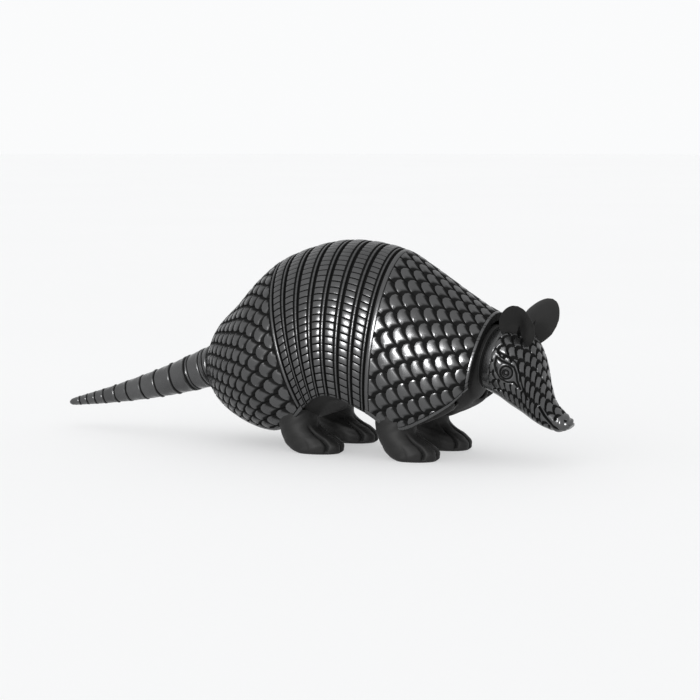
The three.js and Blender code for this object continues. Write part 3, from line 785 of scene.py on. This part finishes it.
def head():
    stations = np.concatenate([np.linspace(0, 6, 200), np.linspace(6.03, LAST_HEAD_RING, 60)])
    turns = np.radians(np.linspace(-180, 180, 221))
    grid = surface_grid(head_point, stations, turns)
    normal = normals_of(grid)
    middle = len(turns) // 2
    side_step = np.linalg.norm(np.diff(grid[:, middle + 55], axis=0), axis=1)
    along = np.concatenate([[0], np.cumsum(side_step)])[:, None]
    across_step = np.linalg.norm(np.diff(grid, axis=1), axis=2)
    across = np.concatenate([np.zeros((len(stations), 1)), np.cumsum(across_step, axis=1)], axis=1)
    across = across - across[:, middle:middle + 1]
    turn = np.degrees(turns)[None, :]
    station = stations[:, None]

    lattice_x = (along - SMOOTH_BAND) / (HEAD_SCALE * HEAD_ROW_SHARE)
    lattice_y = across / HEAD_SCALE
    scale_cut = np.zeros(grid.shape[:2])
    for i in range(grid.shape[0]):
        for j in range(grid.shape[1]):
            scale_cut[i, j] = gouge(lattice_x[i, 0], lattice_y[i, j])

    from_eye = spot_distance(grid, EYE_STATION, EYE_TURN)
    upper, lower = stroke_distance(grid, UPPER_LID), stroke_distance(grid, LOWER_LID)
    brow, mouth = stroke_distance(grid, BROW), stroke_distance(grid, MOUTH)

    bare = np.clip((lattice_x - 0.1) * 4, 0, 1) * np.clip((6.15 - station) * 4, 0, 1)
    bare = bare * np.clip((143 - np.abs(turn)) / 6, 0, 1)
    bare = bare * np.clip((from_eye - 6.2) / 0.8, 0, 1)
    bare = bare * np.clip((np.minimum(upper, lower) - 1.1) / 0.6, 0, 1)
    bare = bare * np.clip((mouth - 1.3) / 0.7, 0, 1)
    scale_cut = scale_cut * bare

    lids = np.maximum(hump(upper, 0.9), hump(lower, 0.9))
    strokes = np.maximum(lids, np.maximum(0.7 * hump(brow, 0.8) * (from_eye > 5), 0))
    socket = hump(from_eye - 3.7, 0.8)
    slit = hump(mouth, 1.1)
    pits = 0
    for s, t in NOSTRILS:
        pits = pits + hump(spot_distance(grid, s, t), 1.3)
    neck = hump(along - 1.2, 1.6)
    chisel = 0.35 * np.clip((station - 5.8) * 2, 0, 1) * np.sin(along * 1.3 + turn * 0.09)
    lid_swell = 0.7 * hump(np.maximum(0, from_eye - 4.6), 2.6)
    press = (-1.15 * scale_cut - 0.75 * strokes - 0.8 * socket - 1.5 * slit - 1.2 * pits
             - 0.9 * neck + 0.16 * bare + chisel * (station < 7.7) + lid_swell)
    # Painted shade: the scale cuts, lid and brow strokes, eye socket, mouth slit, nostril pits and
    # the groove at the neck are marked as cut, so the finish darkens them.
    cut = np.clip(scale_cut + strokes + socket + 1.3 * slit + pits + neck, 0, 1)
    grid = grid + normal * press[..., None]
    shown("head", skin(grid, cut), burnished, "burnished_clay", "head", crisp=50)


head()

# %% [markdown]
# Each eye is a pellet of clay with a ring and a pupil pressed into it. Its half profile is
# spun about the axis that points straight out of the head.
# %% Eyes
EYE_PROFILE = [(0, 0.35), (0.5, 0.38), (0.85, 0.75), (1.15, 1.5), (1.5, 1.62), (1.8, 1.2),
               (2.05, 1.0), (2.3, 1.25), (2.65, 1.05), (2.95, 0.3), (3.0, -1.5), (0, -2)]


def eye(name, side):
    pellet = bmesh.new()
    verts = [pellet.verts.new((r, 0, z)) for r, z in EYE_PROFILE]
    edges = [pellet.edges.new(pair) for pair in zip(verts, verts[1:])]
    bmesh.ops.spin(pellet, geom=verts + edges, cent=(0, 0, 0), axis=(0, 0, 1),
                   angle=math.tau, steps=28, use_merge=True)
    bmesh.ops.remove_doubles(pellet, verts=pellet.verts, dist=1e-4)
    layer = pellet.verts.layers.float.new("gouge")
    for vert in pellet.verts:
        radius = math.hypot(vert.co.x, vert.co.y)
        # Painted shade: the pupil pit and the groove round the ring count as fully cut, so they are
        # darkened; the rest of the pellet only a little.
        vert[layer] = 1 if radius < 1.3 or 1.7 < radius < 2.2 else 0.1
    turn = math.radians(EYE_TURN)
    centre = head_point(EYE_STATION, turn)
    beside = head_point(EYE_STATION, turn + 0.02) - head_point(EYE_STATION, turn - 0.02)
    ahead = head_point(EYE_STATION + 0.02, turn) - head_point(EYE_STATION - 0.02, turn)
    out = beside.cross(ahead).normalized()
    out = out if out.y > 0 else -out
    turned = out.to_track_quat("Z", "Y").to_matrix().to_4x4()
    bmesh.ops.transform(pellet, matrix=Matrix.Translation(centre) @ turned, verts=pellet.verts)
    bmesh.ops.scale(pellet, vec=(MM, side * MM, MM), verts=pellet.verts)
    shown(name, pellet, burnished, "burnished_clay", name, crisp=50)


eye("eye_left", 1)
eye("eye_right", -1)

# %% [markdown]
# An ear is a leaf pinched into a cup: a hollow with a deep crease towards its front, a thick
# folded front lip and a stem that is smeared into the head. The skin runs from the middle
# of the hollow, over the rim and back to the middle of the rounded back.
# %% Ears
EAR_LENGTH, EAR_WIDTH, EAR_THICKNESS, EAR_CUP = 38, 24, 2.6, 4.2
EAR_ROOT_INSIDE, EAR_WIDEST = 5, 0.58


def ear(name, side):
    along = Vector((0.27, 0.59, 0.78)).normalized()
    face = Vector((0.08, 1, 0))
    face = (face - along * face.dot(along)).normalized()
    across = along.cross(face)
    base = Vector((head_x(0.26), HEAD_WIDTH * 0.226, head_z(0.79)))
    shares = np.linspace(0, 1, 61)
    turns = np.linspace(0, 2, 97)
    grid = np.zeros((len(shares), len(turns), 3))
    cut = np.zeros(grid.shape[:2])
    for i, share in enumerate(shares):
        front = share < 0.5
        inset = math.sin(math.pi * share) ** 0.8
        edge = math.cos(math.pi * share)
        for j, turn in enumerate(turns):
            up = turn if turn <= 1 else 2 - turn
            way = 1 if turn <= 1 else -1
            stem = math.sin(math.pi / 2 * min(1, up / EAR_WIDEST))
            tip = max(0, up - EAR_WIDEST) / (1 - EAR_WIDEST)
            half = EAR_WIDTH / 2 * 0.95 * min(1, stem * math.sqrt(max(0, 1 - tip * tip))
                                       + 0.27 * (1 - up) ** 2) * (1 - 0.16 * tip ** 0.7)
            sideways = way * half * inset
            height = EAR_LENGTH * (0.5 + (up - 0.5) * inset)
            lean = sideways / (EAR_WIDTH / 2)
            cup = -EAR_CUP * (1 - inset * inset)
            thick = EAR_THICKNESS * (0.5 - 0.5 * edge)
            middle = math.exp(-((height / EAR_LENGTH - 0.45) / 0.24) ** 2)
            crease = math.exp(-((lean + 0.18) / 0.16) ** 2) * middle if front else 0
            fold = math.exp(-((lean + 0.62) / 0.26) ** 2) * middle if front else 0
            lift = cup - thick - 2.1 * crease + 1.5 * fold * (1 - inset ** 6)
            point = across * sideways + along * (height - EAR_ROOT_INSIDE) + face * lift + base
            grid[i, j] = (point.x, side * point.y, point.z)
            # Painted shade: the crease is marked as cut, so the finish darkens it.
            cut[i, j] = 0.9 * crease
    shown(name, skin(grid, cut), matte, "matte_clay", name, crisp=60)


ear("ear_left", 1)
ear("ear_right", -1)

# %% [markdown]
# A leg is a short column that turns into a mitten foot. Three long grooves, cut from the
# ankle down over the front, part four toes. The leg runs on up into the body, where it is
# smeared on from inside.
# %% Legs
LEG_SPREAD, LEG_RADIUS, FOOT_WIDTH = 24, 12.3, 25.5
FRONT_FOOT_LENGTH, REAR_FOOT_LENGTH = 37, 41
LEG_RINGS = [  # height, ahead of the foot's middle, how far towards the ankle, tightness, heel
    (0, 1.5, 0, 0.86, 0.56), (1.1, 1.2, 0, 0.955, 0.64), (2.2, 1, 0, 0.985, 0.72),
    (5.5, 0.5, 0, 1, 0.86), (9, -1.5, 0.25, 1, 0.95), (12.5, -5, 0.65, 1, 1),
    (16.5, -8, 0.95, 1, 1), (23, -9, 1, 1, 1), (27, -9.4, 1, 1, 1),
]
TOE_TURNS = (-48, 0, 48)
leg_line = line_through([(height, ahead, ankle) for height, ahead, ankle, tight, heel in LEG_RINGS])
tight_line = line_through([(ring[3], ring[4], index) for index, ring in enumerate(LEG_RINGS)])


def leg(name, foot_length, foot_x, side):
    last = len(LEG_RINGS) - 1
    stations = [0] * 6 + list(np.linspace(0, last, 84)) + [last]
    shrink = [0, 0.2, 0.4, 0.6, 0.8, 0.93] + [1] * 84 + [0]
    turns = np.linspace(-180, 180, 161)
    grid = np.zeros((len(stations), len(turns), 3))
    heights = np.zeros((len(stations), 1))
    for i, (station, size) in enumerate(zip(stations, shrink)):
        height, ahead, ankle = leg_line(station)
        tight, heel = min(1, tight_line(station).x) * size, min(1, tight_line(station).y)
        half_length = (foot_length / 2 + (LEG_RADIUS - foot_length / 2) * ankle) * tight
        half_width = (FOOT_WIDTH / 2 + (LEG_RADIUS - FOOT_WIDTH / 2) * ankle) * tight
        heights[i] = max(0, height)
        for j, turn in enumerate(np.radians(turns)):
            reach = half_length * math.cos(turn) * (heel if math.cos(turn) < 0 else 1)
            grid[i, j] = (foot_x + ahead + reach,
                          side * (LEG_SPREAD + half_width * math.sin(turn)), max(0, height))
    groove = 0
    for toe in TOE_TURNS:
        width = 3.2 + 1.6 * np.clip(heights / 12, 0, 1)
        lean = toe * (1 - 0.25 * np.clip(heights / 16, 0, 1))
        groove = np.maximum(groove, np.exp(-((turns[None, :] - lean) / width) ** 2))
    groove = groove * np.clip((17.5 - heights) / 6, 0, 1) * np.clip(heights / 1.2, 0, 1)
    toes = np.clip((11 - heights) / 7, 0, 1) * np.clip(heights / 2, 0, 1)
    swell = toes * 0.5 * np.cos(np.radians((turns[None, :] + 24) * 360 / 48))
    swell = swell * (np.abs(turns) < 80)[None, :]
    knead = 0.18 * np.sin(turns * 0.11 + heights * 0.8) * np.sin(heights * 0.35 + turns * 0.04)
    press = (-1.9 * groove + swell + knead * np.clip(heights / 2, 0, 1)) * (heights > 0)
    normal = normals_of(grid)
    normal[:7] = (0, 0, 0)
    normal[-1] = (0, 0, 0)
    grid = grid + normal * press[..., None]
    grid[..., 2] = np.maximum(grid[..., 2], 0)
    # Painted shade: the toe grooves are marked as cut, so the finish darkens them.
    cut = np.broadcast_to(np.clip(groove * 1.1, 0, 1), grid.shape[:2])
    shown(name, skin(grid, cut), matte, "matte_clay", name, crisp=60)


FRONT_FOOT_X = percent(75.4, 0)[0] + TAIL_JOINT_X
REAR_FOOT_X = percent(41.3, 0)[0] + TAIL_JOINT_X
for side, word in ((1, "left"), (-1, "right")):
    leg(f"leg_front_{word}", FRONT_FOOT_LENGTH, FRONT_FOOT_X, side)
    leg(f"leg_rear_{word}", REAR_FOOT_LENGTH, REAR_FOOT_X, side)

# %% [markdown]
# The neck is a smooth hollow groove between the shield and the head. Below it the chest
# closes the shell down to the underside, as one dark wall. It has the dull matte finish, and
# it is darkened further as painted shade of the groove.
# %% Neck
NECK_RINGS = [  # how far behind the head, how much wider, how much lower
    (-1.5, -3, 0), (0.4, -0.4, 0), (3, 0.2, 3.5), (5.2, -0.6, 8), (8, -1.2, 10.5),
    (11, 2, 11), (15, 6, 10), (20, 9, 9), (27, 10, 8),
]
NECK_SLOPE = 0.12        # how much it climbs towards the body
# Painted shade: the neck counts as partly cut, which also darkens its colour as the shade of the
# groove.
NECK_SHADE_AND_DULLNESS = 0.25          # it counts as partly cut, so it stays dull


def neck():
    line = line_through(NECK_RINGS)
    middle, up, half_width = head_ring(0)
    grid = []
    for share in np.linspace(0, len(NECK_RINGS) - 1, 60):
        back, grow, drop = line(float(share))
        row = []
        for turn in np.radians(np.linspace(-180, 180, 97)):
            direction = math.cos(turn)
            point = middle + up * (1 + grow / up.length) * direction
            point += Vector((-back, 0, NECK_SLOPE * back - drop * max(0, -direction) ** 2))
            row.append((point.x, (half_width + grow) * math.sin(turn), point.z))
        grid.append(row)
    grid = np.array(grid)
    cut = np.full(grid.shape[:2], NECK_SHADE_AND_DULLNESS)
    shown("neck", skin(grid, cut), matte, "burnished_clay", "neck")


neck()

# %% [markdown]
# The underside is a plain trough, mostly in shadow. A merged copy of its solid is divided
# and softened, which rounds its edges as wet clay is rounded.
# %% Underside
def underside():
    bm = bmesh.new()
    bm.from_mesh(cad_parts["belly"].data)
    bmesh.ops.remove_doubles(bm, verts=bm.verts, dist=2e-6)
    bmesh.ops.dissolve_degenerate(bm, edges=bm.edges, dist=2e-5)
    bm.verts.layers.float.new("gouge")
    piece = shown("belly_wall", bm, matte, "matte_clay", "belly", crisp=75)
    rounding = piece.modifiers.new("soften", "SUBSURF")
    rounding.levels = rounding.render_levels = 1


underside()

# %% [markdown]
# The stage is a plain pale floor under a pale sky. The floor glows a little, which keeps
# the shadow under the figurine light. A small soft light in front adds the glints on the
# rubbed scales, and a wide weak one fills from above.
# %% Floor
def floor_finish():
    paper = Finish("floor")
    cloud = paper.noise(400, 2)
    paper.set(Base_Color=paper.blend(cloud, (0.46, 0.46, 0.46, 1), (0.48, 0.48, 0.48, 1)),
              Roughness=0.9)
    paper.shader.inputs["Emission Color"].default_value = (0.97, 0.975, 0.98, 1)
    paper.shader.inputs["Emission Strength"].default_value = 0.48
    paper.shader.inputs["Specular IOR Level"].default_value = 0.1
    return paper.material


ground = bmesh.new()
bmesh.ops.create_circle(ground, cap_ends=True, segments=96, radius=9)
floor_mesh = stored(ground, "floor")
floor_mesh.materials.append(floor_finish())
floor = bpy.data.objects.new("floor", floor_mesh)
bpy.context.scene.collection.objects.link(floor)

# %% Sky and lights
world = bpy.data.worlds.new("sky")
bpy.context.scene.world = world
world.use_nodes = True
world.node_tree.nodes["Background"].inputs["Color"].default_value = (0.96, 0.965, 0.97, 1)
world.node_tree.nodes["Background"].inputs["Strength"].default_value = 1.0
bpy.context.scene.view_settings.view_transform = "Standard"


def softbox(name, place, size, power, lights_floor):
    light = bpy.data.objects.new(name, bpy.data.lights.new(name, "AREA"))
    bpy.context.scene.collection.objects.link(light)
    light.data.shape = "RECTANGLE"
    light.data.size, light.data.size_y = size
    light.data.energy = power
    light.location = place
    light.visible_diffuse = lights_floor
    aim = Vector((0, 0, 0.06)) - light.location
    light.rotation_euler = aim.to_track_quat("-Z", "Y").to_euler()


softbox("glint", (0.1, -1.05, 0.36), (0.3, 0.2), 13, False)
softbox("fill", (-0.6, -1.6, 2.4), (2.4, 2.4), 1.0, True)
